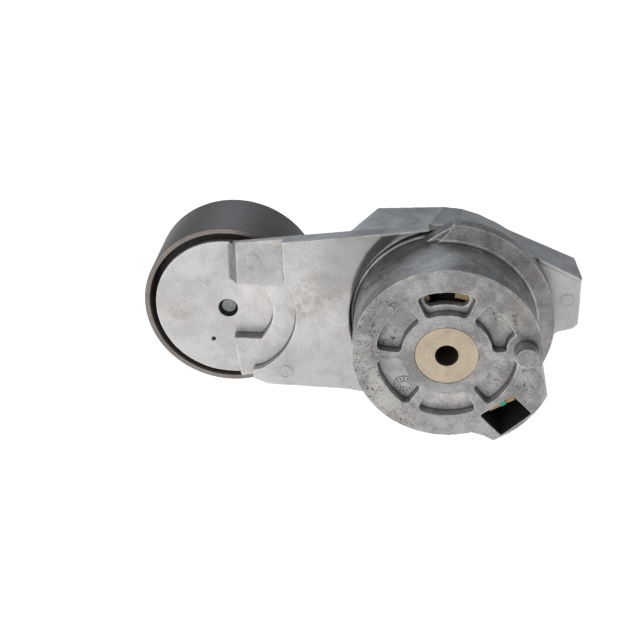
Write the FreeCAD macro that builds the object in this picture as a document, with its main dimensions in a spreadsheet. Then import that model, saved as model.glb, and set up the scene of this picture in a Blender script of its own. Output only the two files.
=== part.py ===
"""Belt tensioner idler: a spring-loaded arm on a fixed housing, with a flat idler pulley.

Frame, in millimetres: the origin is the centre of the mounting bore at the mounting face.
+Y runs from the mounting face towards the pulley side, +Z is up, and the pulley is on -X.
"""
import FreeCAD, Part
import math
import os
import Sketcher
from FreeCAD import Placement, Rotation, Vector

doc = FreeCAD.newDocument("belt_tensioner")

# ---------------------------------------------------------------- driving dimensions
DIMS = {
    # levels along Y on the pivot axis
    "face_level": 0.0,
    "pin_length": 8.0,
    "spindle_head_back": 3.2,
    "pocket_depth": 4.5,
    "mark_front": 2.6,
    "tab_front": 3.5,
    "front_wall_back": 8.5,
    "slot_back": 9.5,
    "bush_flange_back": 10.3,
    "bush_rim_back": 22.0,
    "base_hub_back": 24.0,
    "rear_washer_back": 25.9,
    "arm_hub_front": 26.2,
    "shoe_front": 27.0,
    "lug_inner": 28.9,
    "lug_back": 30.5,
    "flange_foot": 28.6,
    "flange_front": 31.0,
    "arm_face": 31.3,
    "wall_end": 34.5,
    "lip_front": 36.0,
    "skirt_front": 37.0,
    "housing_back": 38.0,
    "plate_back": 38.3,
    "cup_front": 38.6,
    "seal_back": 39.6,
    "ear_rib_front": 40.0,
    "ear_face": 41.5,
    "collar_back": 43.0,
    "spring_seat": 49.0,
    "cup_floor": 51.5,
    "arm_hub_back": 53.8,
    "front_washer_front": 54.1,
    "arm_back": 55.0,
    "front_washer_back": 55.4,
    "thrust_plate_back": 57.4,
    "ring_back": 58.6,
    "cover_inner": 59.3,
    "spindle_end": 60.0,
    "cover_back": 60.4,
    # radii about the pivot axis
    "mounting_bore": 5.1,
    "ring_groove": 10.3,
    "spindle_radius": 11.0,
    "washer_bore": 11.05,
    "bushing_bore": 11.04,
    "arm_hub_bore": 13.05,
    "retaining_radius": 13.2,
    "spindle_head": 14.0,
    "cover_bore": 15.0,
    "hub_radius": 17.0,
    "thrust_plate_radius": 19.0,
    "back_recess": 19.9,
    "bush_inner": 24.6,
    "cover_wall": 21.4,
    "cover_radius": 23.0,
    "spring_mean": 29.8,
    "spring_wire": 3.0,
    "band_inner": 33.7,
    "bush_rim_inner": 34.0,
    "skirt_inner": 34.6,
    "bush_outer": 37.3,
    "shoe_outer": 38.2,
    "cavity_front": 38.0,
    "cavity_back": 38.6,
    "seal_inner": 39.3,
    "housing_radius": 42.0,
    "wall_radius": 41.7,
    "wall_x": -1.4,
    "wall_z": -0.9,
    "seal_outer": 42.8,
    "cup_inner": 43.2,
    "lip_radius": 43.0,
    "opening_radius": 45.2,
    "cup_radius": 45.6,
    "collar_radius": 50.6,
    # levels along Y and radii on the pulley axis
    "pulley_x": -103.64,
    "pulley_z": -3.17,
    "land_level": 35.4,
    "end_block_front": 36.7,
    "disc_front": 41.3,
    "rim_front": 42.85,
    "disc_back": 43.9,
    "bolt_tip_back": 44.9,
    "boss_back": 51.0,
    "shoulder_front": 50.6,
    "bearing_front": 52.0,
    "seal_one_front": 52.6,
    "seal_one_back": 53.6,
    "cage_front": 55.6,
    "web_front": 58.2,
    "bearing_middle": 60.0,
    "web_back": 61.8,
    "cage_back": 64.4,
    "seal_two_front": 66.4,
    "seal_two_back": 67.4,
    "spigot_end": 67.5,
    "bearing_back": 68.0,
    "snap_front": 68.1,
    "snap_back": 69.3,
    "cap_washer_back": 69.6,
    "pulley_hub_back": 71.0,
    "bolt_flange_back": 71.2,
    "bolt_head_back": 76.2,
    "rim_back": 77.36,
    "bolt_tip": 3.35,
    "bolt_radius": 4.0,
    "bolt_hole": 4.65,
    "bolt_flange": 8.4,
    "bolt_head_flats": 13.0,
    "spigot_radius": 8.49,
    "bearing_bore": 8.5,
    "inner_ring_outer": 11.6,
    "seal_bore": 11.9,
    "cage_inner": 12.7,
    "arm_boss": 13.0,
    "ball_circle": 14.05,
    "ball_radius": 3.45,
    "race_radius": 3.72,
    "cage_pocket": 3.75,
    "cage_outer": 15.4,
    "dust_washer_radius": 16.0,
    "outer_ring_inner": 16.5,
    "shoulder_bore": 18.5,
    "snap_bore": 18.7,
    "bearing_radius": 20.0,
    "snap_radius": 20.9,
    "snap_groove": 21.0,
    "pulley_hub": 24.5,
    "end_disc": 35.0,
    "end_block": 35.2,
    "rim_inner": 38.2,
    "rim_chamfer": 40.3,
    "pulley_radius": 40.74,
    "rim_chamfer_front": 43.25,
    "rim_chamfer_back": 76.96,
    # small features
    "pin_radius": 4.8,
    "pin_x": 34.3,
    "pin_z": 4.7,
    "pit_radius": 1.1,
    "square_drive": 9.6,
    "square_floor": 43.0,
    "square_x": 51.5,
    "square_z": 9.3,
    "pit_floor": 43.4,
    "pit_x": -111.3,
    "pit_z": -20.4,
    "on_axis": 0.0,
    "race_front": 57.2,
    "race_back": 62.8,
    "rib_back": 41.9,
    "mouth_x": 4.0,
    "mouth_z": 8.0,
    "mouth_inner": 30.0,
    "mouth_face": 48.7,
    "mouth_back": 41.9,
}

PLATE_TOP_RIGHT = (-9.8, 45.9)
PLATE_TOP_LEFT = (-102.3, 33.6)
END_EDGE = 1.3
BALLS = 9
SPRING_TURNS = 4.5
RECESSES = 6
SMALLEST_CUT = 0.5
FLAT_CORNER = 160.0

sheet = doc.addObject("Spreadsheet::Sheet", "Sizes")
next_row = 1


def put(alias, number):
    """Write one driving dimension to the next free cell and name it."""
    global next_row
    sheet.set("A%d" % next_row, alias)
    sheet.set("B%d" % next_row, "%.6g" % number)
    sheet.setAlias("B%d" % next_row, alias)
    next_row += 1


for alias, number in DIMS.items():
    put(alias, number)
doc.recompute()


def cell(alias):
    return "Sizes." + alias


def polar(radius, degrees, centre=(0.0, 0.0)):
    """Point at a radius and angle, counter-clockwise from +X towards +Z."""
    turn = math.radians(degrees)
    return centre[0] + radius * math.cos(turn), centre[1] + radius * math.sin(turn)


# ---------------------------------------------------------------- sketch and feature helpers
def origin_plane(body, role):
    return [item for item in body.Origin.OriginFeatures if item.Role == role][0]


def new_sketch(body, name, role, level=None):
    """Sketch on an origin plane; on XZ_Plane it is shifted along +Y to a level of the sheet."""
    sketch = body.newObject("Sketcher::SketchObject", name)
    sketch.AttachmentSupport = [(origin_plane(body, role), "")]
    sketch.MapMode = "FlatFace"
    if level is not None:
        sketch.setExpression("AttachmentOffset.Base.z", "-" + cell(level))
    return sketch


def fix_point(sketch, geometry, end, alias_x, alias_y):
    """Tie one end of an edge to a pair of cells, measured from the sketch's origin."""
    for kind, alias, axis in (("DistanceX", alias_x, -2), ("DistanceY", alias_y, -1)):
        number = float(sheet.get(alias))
        if abs(number) < 1e-9:
            sketch.addConstraint(Sketcher.Constraint("PointOnObject", geometry, end, axis))
            continue
        index = sketch.addConstraint(Sketcher.Constraint(kind, -1, 1, geometry, end, number))
        sketch.setExpression("Constraints[%d]" % index, cell(alias))


def draw_chain(sketch, corners):
    """Closed chain of edges. A corner is (alias, alias) or (alias, alias, radius alias, side):
    with a radius, the edge to the next corner is an arc whose centre is on that side (+1 left)."""
    places = [Vector(float(sheet.get(c[0])), float(sheet.get(c[1])), 0) for c in corners]
    count = len(corners)
    for index, corner in enumerate(corners):
        start, finish = places[index], places[(index + 1) % count]
        if len(corner) == 2:
            sketch.addGeometry(Part.LineSegment(start, finish), False)
            continue
        radius = float(sheet.get(corner[2]))
        half = (finish - start) * 0.5
        left = Vector(-half.y, half.x, 0).normalize()
        centre = start + half + left * (corner[3] * math.sqrt(radius ** 2 - half.Length ** 2))
        first = math.atan2(start.y - centre.y, start.x - centre.x)
        last = math.atan2(finish.y - centre.y, finish.x - centre.x)
        if corner[3] < 0:
            first, last = last, first
        circle = Part.Circle(centre, Vector(0, 0, 1), radius)
        sketch.addGeometry(Part.ArcOfCircle(circle, first, last), False)
    for index, corner in enumerate(corners):
        following = corners[(index + 1) % count]
        begin = 2 if len(corner) > 2 and corner[3] < 0 else 1
        end = 3 - begin
        next_begin = 2 if len(following) > 2 and following[3] < 0 else 1
        joined = (index, end, (index + 1) % count, next_begin)
        sketch.addConstraint(Sketcher.Constraint("Coincident", *joined))
        fix_point(sketch, index, begin, corner[0], corner[1])
        if len(corner) > 2:
            radius = float(sheet.get(corner[2]))
            bound = sketch.addConstraint(Sketcher.Constraint("Radius", index, radius))
            sketch.setExpression("Constraints[%d]" % bound, cell(corner[2]))


def draw_outline(sketch, name, points):
    """Put the points of an outline in the sheet as NAME_x1, NAME_z1 and so on, and draw it."""
    corners = []
    for number, point in enumerate(points, start=1):
        aliases = ["%s_x%d" % (name, number), "%s_z%d" % (name, number)]
        put(aliases[0], point[0])
        put(aliases[1], point[1])
        if len(point) > 2:
            put("%s_arc%d" % (name, number), point[2])
            aliases += ["%s_arc%d" % (name, number), point[3]]
        corners.append(tuple(aliases))
    sheet.recompute()
    draw_chain(sketch, corners)


def draw_circle(sketch, radius, centre=None):
    """Circle of a named radius, at the origin or at a named pair of cells."""
    place = Vector(0, 0, 0)
    if centre:
        place = Vector(float(sheet.get(centre[0])), float(sheet.get(centre[1])), 0)
    circle = Part.Circle(place, Vector(0, 0, 1), float(sheet.get(radius)))
    index = sketch.addGeometry(circle, False)
    if centre:
        fix_point(sketch, index, 3, centre[0], centre[1])
    else:
        sketch.addConstraint(Sketcher.Constraint("Coincident", index, 3, -1, 1))
    bound = sketch.addConstraint(Sketcher.Constraint("Radius", index, float(sheet.get(radius))))
    sketch.setExpression("Constraints[%d]" % bound, cell(radius))


def new_body(label):
    body = doc.addObject("PartDesign::Body", label)
    body.Label = label
    return body


def move_to_pulley(body):
    """Put a body that is drawn about its own Y axis on the pulley axis."""
    body.setExpression("Placement.Base.x", cell("pulley_x"))
    body.setExpression("Placement.Base.z", cell("pulley_z"))


def turn_profile(body, name, corners, kind="PartDesign::Revolution"):
    """Revolve a closed profile of (radius, level) cells about the body's Y axis."""
    sketch = new_sketch(body, name + "_profile", "XY_Plane")
    draw_chain(sketch, corners)
    feature = body.newObject(kind, name)
    feature.Profile = sketch
    feature.ReferenceAxis = (sketch, ["V_Axis"])
    feature.Angle = 360.0
    return feature


def turned(label, corners, at_pulley=False):
    """A ring, bush, washer or shaft: one revolved body."""
    body = new_body(label)
    turn_profile(body, label + "_turned", corners)
    if at_pulley:
        move_to_pulley(body)
    return body


def ring(label, inner, outer, front, back, at_pulley=False):
    """A plain ring between two radii and two levels."""
    corners = [(inner, front), (outer, front), (outer, back), (inner, back)]
    return turned(label, corners, at_pulley)


def pad(body, name, sketch, front, back):
    """Extrude a sketch between two levels, along +Y."""
    feature = body.newObject("PartDesign::Pad", name)
    feature.Profile = sketch
    feature.Reversed = True
    feature.setExpression("Length", "%s - %s" % (cell(back), cell(front)))
    return feature


def prism(body, name, front, back, points):
    """Pad of an outline between two levels."""
    sketch = new_sketch(body, name + "_sketch", "XZ_Plane", front)
    draw_outline(sketch, name, points)
    return pad(body, name, sketch, front, back)


def disc(body, name, front, back, radius, centre=None):
    """Pad of a circle between two levels."""
    sketch = new_sketch(body, name + "_sketch", "XZ_Plane", front)
    draw_circle(sketch, radius, centre)
    return pad(body, name, sketch, front, back)


def blend(body, name, front, front_points, back, back_points, kind="PartDesign::AdditiveLoft"):
    """Straight-sided loft between an outline at one level and an outline at a deeper one."""
    first = new_sketch(body, name + "_front", "XZ_Plane", front)
    draw_outline(first, name + "_a", front_points)
    last = new_sketch(body, name + "_back", "XZ_Plane", back)
    draw_outline(last, name + "_b", back_points)
    return loft(body, name, first, last, kind)


def loft(body, name, first, last, kind="PartDesign::AdditiveLoft"):
    """Straight-sided loft between two sketches."""
    feature = body.newObject(kind, name)
    feature.Profile = first
    feature.Sections = [last]
    feature.Ruled = True
    return feature


def must_drop(body, name, before):
    """Recompute and make sure that a cut took material away."""
    doc.recompute()
    if body.Shape.Volume > before - SMALLEST_CUT:
        raise RuntimeError("%s removes nothing" % name)


def cut(body, name, sketch, front, back):
    """Pocket of a sketch from one level to a deeper one."""
    doc.recompute()
    before = body.Shape.Volume
    feature = body.newObject("PartDesign::Pocket", name)
    feature.Profile = sketch
    feature.setExpression("Length", "%s - %s" % (cell(back), cell(front)))
    must_drop(body, name, before)
    return feature


def hollow_out(body, name, corners):
    """Cut a revolved profile of (radius, level) cells out of a body."""
    doc.recompute()
    before = body.Shape.Volume
    turn_profile(body, name, corners, "PartDesign::Groove")
    must_drop(body, name, before)


def cut_outline(body, name, front, back, points):
    sketch = new_sketch(body, name + "_sketch", "XZ_Plane", front)
    draw_outline(sketch, name, points)
    return cut(body, name, sketch, front, back)


def cut_circle(body, name, front, back, radius, centre=None):
    sketch = new_sketch(body, name + "_sketch", "XZ_Plane", front)
    draw_circle(sketch, radius, centre)
    return cut(body, name, sketch, front, back)


def round_corners(points, radius):
    """Replace each real corner of a counter-clockwise polygon by two points and an arc.

    A corner flatter than FLAT_CORNER degrees is a step of a curve and stays as it is.
    """
    rounded = []
    count = len(points)
    for index, point in enumerate(points):
        here = Vector(point[0], point[1], 0)
        before = Vector(*points[index - 1][:2], 0)
        after = Vector(*points[(index + 1) % count][:2], 0)
        back_way = (before - here).normalize()
        next_way = (after - here).normalize()
        opening = back_way.getAngle(next_way)
        if math.degrees(opening) > FLAT_CORNER:
            rounded.append((here.x, here.y))
            continue
        reach = radius / math.tan(opening / 2)
        first = here + back_way * reach
        last = here + next_way * reach
        rounded.append((first.x, first.y, radius, 1))
        rounded.append((last.x, last.y))
    return rounded


# ---------------------------------------------------------------- fixed side: housing
def add_case_metal(body):
    """The case before it is hollowed: tapered wall, rear lip, lug and stop flange with its foot."""
    centre = ("wall_x", "wall_z")
    face = new_sketch(body, "case_front", "XZ_Plane", "face_level")
    draw_circle(face, "housing_radius")
    rear = new_sketch(body, "case_rear", "XZ_Plane", "wall_end")
    draw_circle(rear, "wall_radius", centre)
    loft(body, "case", face, rear)
    disc(body, "case_end", "wall_end", "housing_back", "wall_radius", centre)
    disc(body, "lip", "lip_front", "housing_back", "lip_radius", centre)
    inside, outside = 39.3, 49.3
    prism(body, "lug", "face_level", "lug_back", [
        (41.9, -4.3), polar(inside, -6) + (inside, -1), polar(inside, -68), (13.8, -40.1),
        (18.4, -41.2), (23.2, -43.8, outside, 1), (45.6, -18.3)])
    outer, root = 50.3, 39.2
    prism(body, "stop_flange", "flange_front", "housing_back", [
        (45.3, -21.8, outer, 1), (0.8, 49.0), (-12.3, 39.6),
        polar(root, 104) + (root, -1), polar(root, -26)])
    foot, sweep = 40.2, 49.6
    root_arc = [polar(root, 102) + (root, -1), polar(root, -25)]
    blend(body, "flange_foot",
          "flange_foot", [polar(foot, -25) + (foot, 1), polar(foot, 101.5)] + root_arc,
          "flange_front", [(44.3, -21.0, sweep, 1), (1.1, 48.3)] + root_arc)


def cut_case(body):
    """Spring cavity, spindle seat, window, recesses and the curved slot through the top recess."""
    hollow_out(body, "cavity", [
        ("hub_radius", "front_wall_back"), ("cavity_front", "front_wall_back"),
        ("cavity_back", "housing_back"), ("on_axis", "housing_back"),
        ("on_axis", "base_hub_back"), ("hub_radius", "base_hub_back")])
    cut_circle(body, "spindle_seat", "face_level", "base_hub_back", "spindle_radius")
    cut_circle(body, "head_seat", "face_level", "spindle_head_back", "spindle_head")
    window = [(29.9, -19.0), (16.4, -30.5), (26.6, -40.8), (39.4, -28.2)]
    cut_outline(body, "window", "face_level", "lug_inner", round_corners(window, 1.0))
    middle = 92.8
    inner, outer = 20.3, 31.2
    inner_steps = (25.7, 13.0, 0.0, -13.0, -25.7)
    outer_steps = (-24.6, -16.0, -8.0, 0.0, 8.0, 16.0, 24.6)
    recess = [polar(outer, middle + step) for step in outer_steps]
    recess += [polar(inner, middle + step) for step in inner_steps]
    first = cut_outline(body, "recess", "face_level", "pocket_depth", round_corners(recess, 2.2))
    pattern = body.newObject("PartDesign::PolarPattern", "recesses")
    pattern.Originals = [first]
    pattern.Axis = (origin_plane(body, "Y_Axis"), [""])
    pattern.Angle = 360.0
    pattern.Occurrences = RECESSES
    body.Tip = pattern
    slot_inner, slot_outer, slot_half, slot_end = 23.2, 29.2, 16.0, 3.05
    cut_outline(body, "slot", "face_level", "slot_back", [
        polar(slot_inner, middle - slot_half) + (slot_end, 1),
        polar(slot_outer, middle - slot_half) + (slot_outer, 1),
        polar(slot_outer, middle + slot_half) + (slot_end, 1),
        polar(slot_inner, middle + slot_half) + (slot_inner, -1)])


def make_base_housing():
    """Die-cast spring case with six recesses, a stop flange, a windowed lug and a locating pin."""
    body = new_body("base_housing")
    add_case_metal(body)
    cut_case(body)
    pad_radius = 8.6
    prism(body, "pin_pad", "face_level", "pocket_depth", [
        (36.0, 12.1), (29.9, 12.1, pad_radius, 1), (26.9, 0.26), (36.0, -2.0)])
    sketch = new_sketch(body, "pin_sketch", "XZ_Plane", "face_level")
    draw_circle(sketch, "pin_radius", ("pin_x", "pin_z"))
    pin = body.newObject("PartDesign::Pad", "pin")
    pin.Profile = sketch
    pin.setExpression("Length", cell("pin_length"))
    doc.recompute()
    return body


# ---------------------------------------------------------------- fixed side: the other pieces
def make_fixed_pieces():
    """Spindle, washers, thrust plate, retaining ring, spring support, damping seal and mark."""
    spindle = turned("pivot_spindle", [
        ("mounting_bore", "face_level"), ("spindle_head", "face_level"),
        ("spindle_head", "spindle_head_back"), ("spindle_radius", "spindle_head_back"),
        ("spindle_radius", "thrust_plate_back"), ("ring_groove", "thrust_plate_back"),
        ("ring_groove", "ring_back"), ("spindle_radius", "ring_back"),
        ("spindle_radius", "spindle_end"), ("mounting_bore", "spindle_end")])
    rear = ring("rear_thrust_washer", "washer_bore", "hub_radius",
                "base_hub_back", "rear_washer_back")
    front = ring("front_thrust_washer", "washer_bore", "hub_radius",
                 "front_washer_front", "front_washer_back")
    plate = ring("thrust_plate", "washer_bore", "thrust_plate_radius",
                 "front_washer_back", "thrust_plate_back")
    retainer = ring("retaining_ring", "ring_groove", "retaining_radius",
                    "thrust_plate_back", "ring_back")
    opening = [(-1.5, -20.0), (-1.5, 0.0), (1.5, 0.0), (1.5, -20.0)]
    cut_outline(retainer, "ring_opening", "thrust_plate_back", "ring_back", opening)
    support = turned("spring_support_bush", [
        ("bush_inner", "front_wall_back"), ("bush_outer", "front_wall_back"),
        ("bush_outer", "bush_rim_back"), ("bush_rim_inner", "bush_rim_back"),
        ("bush_rim_inner", "bush_flange_back"), ("bush_inner", "bush_flange_back")])
    gap = [polar(16.0, 86), polar(40.0, 84), polar(40.0, 109), polar(16.0, 112)]
    cut_outline(support, "bush_gap", "front_wall_back", "bush_rim_back", gap)
    prism(support, "window_tab", "tab_front", "bush_flange_back", [
        (19.2, -29.2), (21.2, -29.9), (26.0, -26.8), (28.0, -25.3), (31.6, -23.4),
        (31.2, -21.4), (29.6, -20.3)])
    mark = new_body("index_mark")
    prism(mark, "mark", "mark_front", "tab_front", [
        (24.6, -24.6), (26.0, -26.6), (27.9, -25.2), (26.8, -22.9)])
    seal = ring("dust_seal", "seal_inner", "seal_outer", "housing_back", "seal_back")
    return [spindle, rear, front, plate, retainer, support, mark, seal]


def make_torsion_spring():
    """Round-wire torsion coil between the housing and the arm, wound about the pivot."""
    wire = DIMS["spring_wire"]
    first = DIMS["bush_flange_back"] + wire + 0.2
    last = DIMS["spring_seat"] - wire - 0.3
    put("spring_pitch", (last - first) / SPRING_TURNS)
    put("spring_height", last - first)
    put("spring_start", first)
    doc.recompute()
    path = doc.addObject("Part::Helix", "spring_path")
    path.setExpression("Pitch", cell("spring_pitch"))
    path.setExpression("Height", cell("spring_height"))
    path.setExpression("Radius", cell("spring_mean"))
    section = doc.addObject("Part::Circle", "spring_section")
    section.setExpression("Radius", cell("spring_wire"))
    section.Placement = Placement(Vector(DIMS["spring_mean"], 0, 0),
                                  Rotation(Vector(1, 0, 0), 90))
    coil = doc.addObject("Part::Sweep", "torsion_spring")
    coil.Sections = [section]
    coil.Spine = path
    coil.Solid = True
    coil.Frenet = True
    coil.Label = "torsion_spring"
    coil.Placement = Placement(Vector(0, 0, 0), Rotation(Vector(1, 0, 0), -90))
    coil.setExpression("Placement.Base.y", cell("spring_start"))
    return coil


# ---------------------------------------------------------------- moving side: arm
def add_arm_metal(body):
    """Everything the arm is made of before its insides are cut."""
    disc(body, "cup", "cup_front", "arm_back", "cup_radius")
    disc(body, "hub", "arm_hub_front", "cup_front", "hub_radius")
    disc(body, "skirt", "skirt_front", "cup_front", "shoe_outer")
    blend(body, "shoulder",
          "plate_back", [(18.5, 41.4), (12.0, 43.9), (4.0, 45.4), (-9.8, 45.8), (-45.5, 41.1),
                         (-45.5, -39.5), (-9.8, -44.9)],
          "arm_back", [(19.0, 41.3), (12.6, 44.4), (4.5, 46.8), (-3.5, 47.4), (-33.8, 45.7),
                       (-33.7, -41.8), (-5.0, -45.0)])
    collar, inner = DIMS["collar_radius"], DIMS["cup_inner"] + 1.5
    prism(body, "collar", "arm_face", "collar_back", [
        polar(collar, 122.5) + (collar, 1), polar(collar, 236),
        polar(inner, 236) + (inner, -1), polar(inner, 122.5)])
    blend(body, "ear",
          "ear_face", [(20.5, 38.2), (10.0, 20.0), (38.0, -24.0), (52.4, -9.0), (59.4, -6.7),
                       (61.6, -4.2), (61.0, 20.2)],
          "arm_back", [(20.5, 39.8), (10.0, 20.0), (38.0, -24.0), (51.0, -8.0), (57.5, -5.8),
                       (59.4, -3.6), (58.3, 23.9)])
    prism(body, "ear_rib", "ear_rib_front", "ear_face", [
        (40.6, 29.8), (39.9, 28.2), (60.6, 18.6), (61.0, 20.2)])
    prism(body, "plate", "arm_face", "plate_back", [
        PLATE_TOP_RIGHT, PLATE_TOP_LEFT, (-102.3, -35.9), (-90.5, -36.0), (-84.0, -38.7),
        (-45.5, -39.5), (-9.8, -45.0)])
    for name, root, tip in (("upper_rib", 12.0, 9.0), ("lower_rib", -14.0, -15.0)):
        prism(body, name, "plate_back", "rib_back", [
            (-40.0, root - 2.0), (-40.0, root + 2.0), (-76.0, tip + 2.0), (-76.0, tip - 2.0)])
    centre = (DIMS["pulley_x"], DIMS["pulley_z"])
    block = DIMS["end_block"]
    lean = math.degrees(math.acos(END_EDGE / block))
    prism(body, "end_block", "end_block_front", "disc_back", [
        polar(block, -lean, centre) + (block, 1), polar(block, lean, centre)])
    disc(body, "end_disc", "disc_front", "disc_back", "end_disc", ("pulley_x", "pulley_z"))
    disc(body, "pulley_boss", "disc_back", "boss_back", "arm_boss", ("pulley_x", "pulley_z"))
    disc(body, "spigot", "boss_back", "spigot_end", "spigot_radius", ("pulley_x", "pulley_z"))


def cut_arm_inside(body):
    """Hollow the cup, open its mouth round the housing and bore the pivot hub."""
    hollow_out(body, "cup_inside", [
        ("arm_hub_bore", "face_level"), ("arm_hub_bore", "arm_hub_front"),
        ("hub_radius", "arm_hub_front"), ("hub_radius", "spring_seat"),
        ("skirt_inner", "spring_seat"), ("skirt_inner", "skirt_front"),
        ("shoe_outer", "skirt_front"), ("shoe_outer", "cup_floor"),
        ("cup_inner", "cup_floor"), ("cup_inner", "cup_front"),
        ("opening_radius", "cup_front"), ("opening_radius", "face_level")])
    cut_circle(body, "hub_bore", "face_level", "arm_back", "arm_hub_bore")
    cut_circle(body, "washer_seat", "arm_hub_back", "arm_back", "back_recess")
    before = body.Shape.Volume
    hollow = new_sketch(body, "mouth_profile", "XY_Plane")
    hollow.setExpression("AttachmentOffset.Base.x", cell("mouth_x"))
    hollow.setExpression("AttachmentOffset.Base.z", cell("mouth_z"))
    draw_chain(hollow, [("mouth_inner", "arm_face"), ("mouth_face", "arm_face"),
                        ("mouth_back", "plate_back"), ("mouth_inner", "plate_back")])
    mouth = body.newObject("PartDesign::Groove", "mouth")
    mouth.Profile = hollow
    mouth.ReferenceAxis = (hollow, ["V_Axis"])
    mouth.Angle = 360.0
    must_drop(body, "mouth", before)


def add_brow(body):
    """Refill the mouth under the arm's top edge with a thin straight rim."""
    right, left = PLATE_TOP_RIGHT[0], -33.0
    fall = (PLATE_TOP_RIGHT[1] - PLATE_TOP_LEFT[1]) / (PLATE_TOP_RIGHT[0] - PLATE_TOP_LEFT[0])
    top = PLATE_TOP_RIGHT[1] - fall * (right - left)
    prism(body, "brow", "arm_face", "plate_back", [
        PLATE_TOP_RIGHT, (left, top), (left, 41.3), (right, 45.0)])


def cut_pulley_end(body):
    """Recesses, left edge, bolt hole and casting pit at the pulley end of the arm."""
    far, edge, slope = -125.0, DIMS["pulley_x"] + END_EDGE, 7.6
    cut_outline(body, "lower_edge", "arm_face", "disc_front", [
        (far, 0.0), (far, -45.0), (-96.6, -45.0), (-98.3, -31.0), (-101.6, -6.4), (edge, 0.0)])
    blend(body, "upper_edge",
          "arm_face", [(far, 0.0), (edge + slope, 0.0), (edge + slope, 45.0), (far, 45.0)],
          "disc_front", [(far, 0.0), (edge, 0.0), (edge, 45.0), (far, 45.0)],
          "PartDesign::SubtractiveLoft")
    cut_outline(body, "land", "arm_face", "land_level", [
        (-112.0, -45.0), (-91.0, -45.0), (-91.0, -31.0), (-86.5, -29.7, 34.0, 1),
        (-70.2, -3.0, 24.0, 1), (-75.6, 15.6), (-76.5, 45.0), (-112.0, 45.0)])
    cut_outline(body, "bolt_recess", "arm_face", "disc_front", [
        (-112.0, -15.9), (-87.1, -15.9), (-83.4, -10.4, 20.9, 1), (-86.9, 12.5),
        (-112.0, 12.5)])
    axis = ("pulley_x", "pulley_z")
    cut_circle(body, "bolt_hole", "disc_front", "disc_back", "bolt_hole", axis)
    cut_circle(body, "bolt_thread", "disc_back", "spigot_end", "bolt_radius", axis)
    cut_circle(body, "pit", "disc_front", "pit_floor", "pit_radius", ("pit_x", "pit_z"))
    half = DIMS["square_drive"] / 2
    cut_outline(body, "square_drive", "square_floor", "arm_back", [
        (DIMS["square_x"] + i * half, DIMS["square_z"] + j * half)
        for i, j in ((-1, -1), (1, -1), (1, 1), (-1, 1))])


def make_arm_pieces():
    """The arm casting and what is fixed to it on the pivot side."""
    arm = new_body("tensioner_arm")
    add_arm_metal(arm)
    cut_arm_inside(arm)
    add_brow(arm)
    cut_pulley_end(arm)
    bushing = ring("pivot_bushing", "bushing_bore", "arm_hub_bore",
                   "arm_hub_front", "arm_hub_back")
    shoe = ring("damper_shoe", "skirt_inner", "shoe_outer", "shoe_front", "skirt_front")
    band = ring("damper_band", "band_inner", "skirt_inner", "shoe_front", "skirt_front")
    for piece, name in ((shoe, "shoe_gap"), (band, "band_gap")):
        gap = [(0.0, 0.0), polar(60.0, 95), polar(80.0, 155), polar(60.0, 215)]
        cut_outline(piece, name, "shoe_front", "skirt_front", gap)
    cover = turned("dust_cover", [
        ("cover_wall", "arm_back"), ("cover_radius", "arm_back"),
        ("cover_radius", "cover_back"), ("cover_bore", "cover_back"),
        ("cover_bore", "cover_inner"), ("cover_wall", "cover_inner")])
    return [arm, bushing, shoe, band, cover]


# ---------------------------------------------------------------- pulley, bearing and bolt
def make_bolt_and_washers():
    """The pulley bolt, screwed into the arm from the far side, and its two dust washers."""
    bolt = turned("pulley_bolt", [
        ("on_axis", "disc_back"), ("bolt_tip", "disc_back"), ("bolt_radius", "bolt_tip_back"),
        ("bolt_radius", "cap_washer_back"), ("bolt_flange", "cap_washer_back"),
        ("bolt_flange", "bolt_flange_back"), ("on_axis", "bolt_flange_back")], True)
    corner = DIMS["bolt_head_flats"] / 2 / math.cos(math.radians(30))
    prism(bolt, "hex_head", "bolt_flange_back", "bolt_head_back",
          [polar(corner, 60 * step) for step in range(6)])
    front = ring("front_dust_washer", "bearing_bore", "dust_washer_radius",
                 "boss_back", "bearing_front", True)
    rear = ring("rear_dust_washer", "bolt_radius", "dust_washer_radius",
                "bearing_back", "cap_washer_back", True)
    return [bolt, front, rear]


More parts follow.
